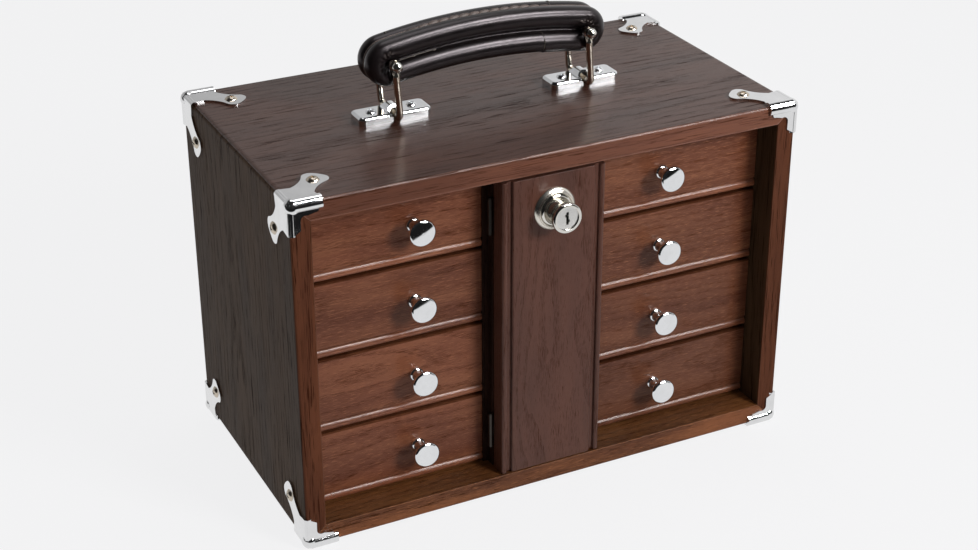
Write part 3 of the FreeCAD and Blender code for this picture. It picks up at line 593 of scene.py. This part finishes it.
def smoothed(mesh, co, rounds, amount):
    """Moves each vertex towards the mean of its neighbours."""
    edges = np.zeros(len(mesh.edges) * 2, dtype=np.int64)
    mesh.edges.foreach_get("vertices", edges)
    a, b = edges[0::2], edges[1::2]
    degree = np.bincount(edges, minlength=len(co)).astype(float)[:, None]
    for _ in range(rounds):
        total = np.zeros_like(co)
        np.add.at(total, a, co[b])
        np.add.at(total, b, co[a])
        co = co + (total / degree - co) * amount
    return co


def grip_body():
    """The leather of the grip as one skin."""
    verts, faces = merged([roll(-ROLL_SPACING), roll(ROLL_SPACING), web()])
    rough = new_mesh("grip_rough", verts, faces, hide)
    modifier = rough.modifiers.new("skin", "REMESH")
    modifier.mode = "VOXEL"
    modifier.voxel_size = GRIP_VOXEL * MM
    mesh = bpy.data.meshes.new_from_object(rough.evaluated_get(bpy.context.evaluated_depsgraph_get()))
    bpy.data.objects.remove(rough)
    co = np.zeros(len(mesh.vertices) * 3)
    mesh.vertices.foreach_get("co", co)
    co = smoothed(mesh, co.reshape(-1, 3), 4, 0.5)
    co = smoothed(mesh, pinched(co), 1, 0.4)
    mesh.vertices.foreach_set("co", co.ravel())
    mesh.update()
    mesh.name = "grip_leather"
    return shown(mesh, hide)


# The whip stitches: first and last place and spacing, half length, width and height, and where they lie.
LACE_FROM, LACE_TO, LACE_PITCH = -50.0, 38.0, 7.0
STITCH_HALF = (4.6, 1.9, 2.1)
STITCH_RINGS, STITCH_SIDES = 9, 14
STITCH_LIFT, STITCH_TILT, STITCH_Y = 1.3, 0.12, -1.5
VALLEY = math.sqrt(ROLL_RADIUS ** 2 - ROLL_SPACING ** 2)
# The seam lies on the front roll's flank of the valley, and starts this far beyond the stitches.
SEAM_Y = -1.3
SEAM_OUT = math.sqrt(ROLL_RADIUS ** 2 - (ROLL_SPACING + SEAM_Y) ** 2) + 0.40
SEAM_START = 3
SEAM_STEPS = 15
SEAM_TURN = math.pi * 0.9


def stitch(x, fade):
    """One raised stitch in the valley between the rolls."""
    cx, cz, n = upper_point(x)
    length, width, height = STITCH_HALF[0], STITCH_HALF[1], STITCH_HALF[2] * fade
    verts = []
    for r in range(STITCH_RINGS + 1):
        lat = math.pi * r / STITCH_RINGS
        for k in range(STITCH_SIDES):
            lon = 2 * math.pi * k / STITCH_SIDES
            u = math.cos(lat) * length
            v = math.sin(lat) * math.cos(lon) * width
            w = math.sin(lat) * math.sin(lon) * height + u * STITCH_TILT
            out = VALLEY + STITCH_LIFT + w
            verts.append(at_grip(cx + n[0] * out + n[1] * u, v + STITCH_Y, cz + n[1] * out - n[0] * u))
    return verts, bands(STITCH_RINGS + 1, STITCH_SIDES)


def seam(from_x, to_x, end):
    """The seam along the upper arc and round one end of the grip."""
    spots = [upper_point(x) for x in even(from_x, to_x, SEAM_STEPS)]
    for i in range(SEAM_STEPS):
        turn = SEAM_TURN * (i + 1) / SEAM_STEPS
        spots.append(loop_point(turn if end == "right" else math.pi - turn, end))
    points = [at_grip(x + n[0] * SEAM_OUT, SEAM_Y, z + n[1] * SEAM_OUT) for x, z, n in spots]
    return tube(points, 0.48 * MM, 8)


def lacing():
    """The whip stitches, lower towards both ends of the row, and the seam that runs on from them."""
    count = round((LACE_TO - LACE_FROM) / LACE_PITCH) + 1
    parts = [stitch(LACE_FROM + LACE_PITCH * i, min(1.0, 0.45 + 0.3 * i, 0.45 + 0.25 * (count - 1 - i)))
             for i in range(count)]
    parts.append(seam(LACE_FROM - SEAM_START, -GRIP_HALF, "left"))
    parts.append(seam(LACE_TO + SEAM_START, GRIP_HALF, "right"))
    return new_mesh("grip_lacing", *merged(parts), lace)


# The thread in the crease: its ends, its knots and how far out it and they lie.
CREASE_FROM, CREASE_TO = -64.0, -38.0
CREASE_Y, KNOT_Y = 8.6, 9.0
CREASE_LIFT = 0.1
KNOTS = (-53.0, -38.6)
# The far lap, on the upper back roll, where its tack also sits.
BACK_LAP_X = 49.0


def crease(side):
    """The thread in the front or back crease with its two knots."""
    def height(x):
        return arc_z(x) + CREASE_LIFT

    line = [at_grip(x, side * CREASE_Y, height(x)) for x in even(CREASE_FROM, CREASE_TO, 18)]
    parts = [tube(line, 0.20 * MM, 8)]
    for x in KNOTS:
        knot = [at_grip(x + d, side * KNOT_Y, height(x) + 0.15 * d) for d in (-1.0, -0.5, 0.0, 0.5, 1.0)]
        parts.append(tube(knot, 0.55 * MM, 8))
    return parts


def lap_line(x, side, first, last, proud):
    """The light stitch line at a lap: round the lower front roll for side -1, the upper back roll for 1."""
    z = arc_z(x, side * ROLL_RISE)
    out = ROLL_RADIUS + proud
    points = [at_grip(x + 0.4 * math.sin(a * 2.0), side * ROLL_SPACING + side * math.sin(a) * out,
                      z + math.cos(a) * out) for a in even(first, last, 14)]
    return tube(points, 0.16 * MM, 6)


def crease_thread():
    """The crease threads and the stitch lines at the laps."""
    parts = crease(-1) + crease(1)
    parts.append(lap_line(LAP_X, -1, -0.2, 2.2, 0.36))
    parts.append(lap_line(BACK_LAP_X, 1, -1.0, 1.2, 0.06))
    return new_mesh("grip_thread", *merged(parts), seam_thread)


def grip_tacks():
    """Two small tack heads on top of the back roll."""
    bm = bmesh.new()
    for x in (-66.0, BACK_LAP_X):
        place = at_grip(x, ROLL_SPACING, arc_z(x, ROLL_RISE) + ROLL_RADIUS - 0.15)
        ball = bmesh.ops.create_uvsphere(bm, u_segments=16, v_segments=10, radius=1.1 * MM)
        bmesh.ops.scale(bm, verts=ball["verts"], vec=(1, 1, 0.6))
        bmesh.ops.translate(bm, verts=ball["verts"], vec=place)
    mesh = bpy.data.meshes.new("grip_tacks")
    bm.to_mesh(mesh)
    bm.free()
    return shown(mesh, steel)


grip = grip_body()
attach(grip, "grip")
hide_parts("handle_grip")
for piece, slot_name in ((lacing(), "black_leather"), (crease_thread(), "black_leather"),
                         (grip_tacks(), "plain_steel")):
    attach(piece, "grip")


BACKDROP = srgb(242, 242, 243)
# Where the bright table starts in reflections, along FORWARD, in metres. Nearer the camera it is dark.
TABLE_EDGE = -0.38
FLOOR_HALF = 15
EVEN_LIGHT = 0.27
TABLE_GLOW = 1.05
GLOW_SHARE = 0.90
# Each lamp's name, place, size and power, whether it lights surfaces, and whether it shows in reflections.
LAMPS = (
    ("key", (0.86, -1.74, 1.05), (0.6, 0.6), 34.0, True, False),
    ("sheen", (1.00, -1.62, 1.10), (0.8, 0.26), 24.0, False, True),
    ("high", (0.64, -0.94, 1.55), (1.2, 0.22), 36.0, False, True),
    ("top", (0.3, 0.5, 2.2), (1.2, 1.0), 9.0, True, True),
)
LAMP_TARGET = Vector((0, 0, 0.12))


def surroundings():
    """Even light all round. The camera sees the backdrop, and reflections see a bright wall behind the chest
    and a dark room in front of it."""
    world = bpy.data.worlds.new("studio")
    bpy.context.scene.world = world
    g = Graph("studio", world)
    path = g.node("LightPath")
    way = g.node("TexCoord").outputs["Generated"]
    height = g.node("SeparateXYZ", {0: way}).outputs["Z"]
    behind = g.vector("DOT_PRODUCT", way, FORWARD, output=1)
    rightward = g.vector("DOT_PRODUCT", way, (FORWARD[1], -FORWARD[0], 0.0), output=1)
    wall = g.math("MULTIPLY", g.step(behind, -0.05, 0.18), g.step(height, 0.85, 0.60))
    wall = g.math("MULTIPLY", wall, g.math("MULTIPLY_ADD", g.step(rightward, -0.25, 0.25), 0.40, 0.45))
    diffuse = g.node("Background", {"Color": (1, 1, 1, 1), "Strength": EVEN_LIGHT})
    mirror = g.node("Background", {"Color": g.math("ADD", wall, 0.02)})
    backdrop = g.node("Background", {"Color": (*BACKDROP, 1)})
    seen = g.math("MAXIMUM", path.outputs["Is Camera Ray"], path.outputs["Is Transmission Ray"])
    first = g.node("MixShader", {0: path.outputs["Is Glossy Ray"], 1: diffuse.outputs[0], 2: mirror.outputs[0]})
    last = g.node("MixShader", {0: seen, 1: first.outputs[0], 2: backdrop.outputs[0]})
    g.tree.links.new(last.outputs[0], g.out.inputs["Surface"])


def table():
    """A pale floor that takes a soft shadow. In reflections it is bright beyond its edge and dark before it."""
    half = FLOOR_HALF
    mesh = bpy.data.meshes.new("floor")
    mesh.from_pydata([(-half, -half, 0), (half, -half, 0), (half, half, 0), (-half, half, 0)], [], [(0, 1, 2, 3)])
    floor = bpy.data.objects.new("floor", mesh)
    bpy.context.scene.collection.objects.link(floor)
    g = Graph("floor")
    rays = g.node("LightPath")
    matt = g.node("BsdfDiffuse", {"Color": (0.8, 0.8, 0.8, 1)})
    glow = g.node("Emission", {"Color": (*BACKDROP, 1), "Strength": TABLE_GLOW})
    along = g.vector("DOT_PRODUCT", g.node("TexCoord").outputs["Object"], FORWARD, output=1)
    tone = g.math("MULTIPLY_ADD", g.step(along, TABLE_EDGE - 0.01, TABLE_EDGE + 0.01), 0.84, 0.012)
    mirrored = g.node("Emission", {"Color": tone, "Strength": 1.0})
    glowing = g.math("MULTIPLY", rays.outputs["Is Camera Ray"], GLOW_SHARE)
    direct = g.node("MixShader", {0: glowing, 1: matt.outputs[0], 2: glow.outputs[0]})
    blend = g.node("MixShader", {0: rays.outputs["Is Glossy Ray"], 1: direct.outputs[0], 2: mirrored.outputs[0]})
    g.tree.links.new(blend.outputs[0], g.out.inputs["Surface"])
    mesh.materials.append(g.material)


def lamps():
    """Large soft lamps, all aimed at the middle of the chest and out of the camera's sight."""
    for name, place, size, power, lights, mirrored in LAMPS:
        data = bpy.data.lights.new(name, "AREA")
        data.shape = "RECTANGLE"
        data.size, data.size_y = size
        data.energy = power
        obj = bpy.data.objects.new(name, data)
        obj.location = place
        obj.rotation_euler = (LAMP_TARGET - Vector(place)).to_track_quat("-Z", "Y").to_euler()
        obj.visible_camera = False
        obj.visible_diffuse = lights
        obj.visible_glossy = mirrored
        bpy.context.scene.collection.objects.link(obj)


CAMERA_PLACE = Vector((-0.500578, -1.001834, 0.687608))
CAMERA_TARGET = Vector((0.00074, 0.00735, 0.1104))
CAMERA_LENS = 68.31
CAMERA_ROLL = math.radians(-0.1225)


def camera():
    """The photograph's viewpoint."""
    data = bpy.data.cameras.new("camera")
    data.lens = CAMERA_LENS
    data.sensor_width = 36.0
    data.sensor_fit = "HORIZONTAL"
    obj = bpy.data.objects.new("camera", data)
    obj.location = CAMERA_PLACE
    look = (CAMERA_TARGET - CAMERA_PLACE).to_track_quat("-Z", "Y").to_matrix()
    obj.rotation_euler = (look @ Matrix.Rotation(CAMERA_ROLL, 3, "Z")).to_euler()
    bpy.context.scene.collection.objects.link(obj)
    bpy.context.scene.camera = obj


surroundings()
table()
lamps()
camera()
bpy.context.scene.view_settings.view_transform = "Standard"
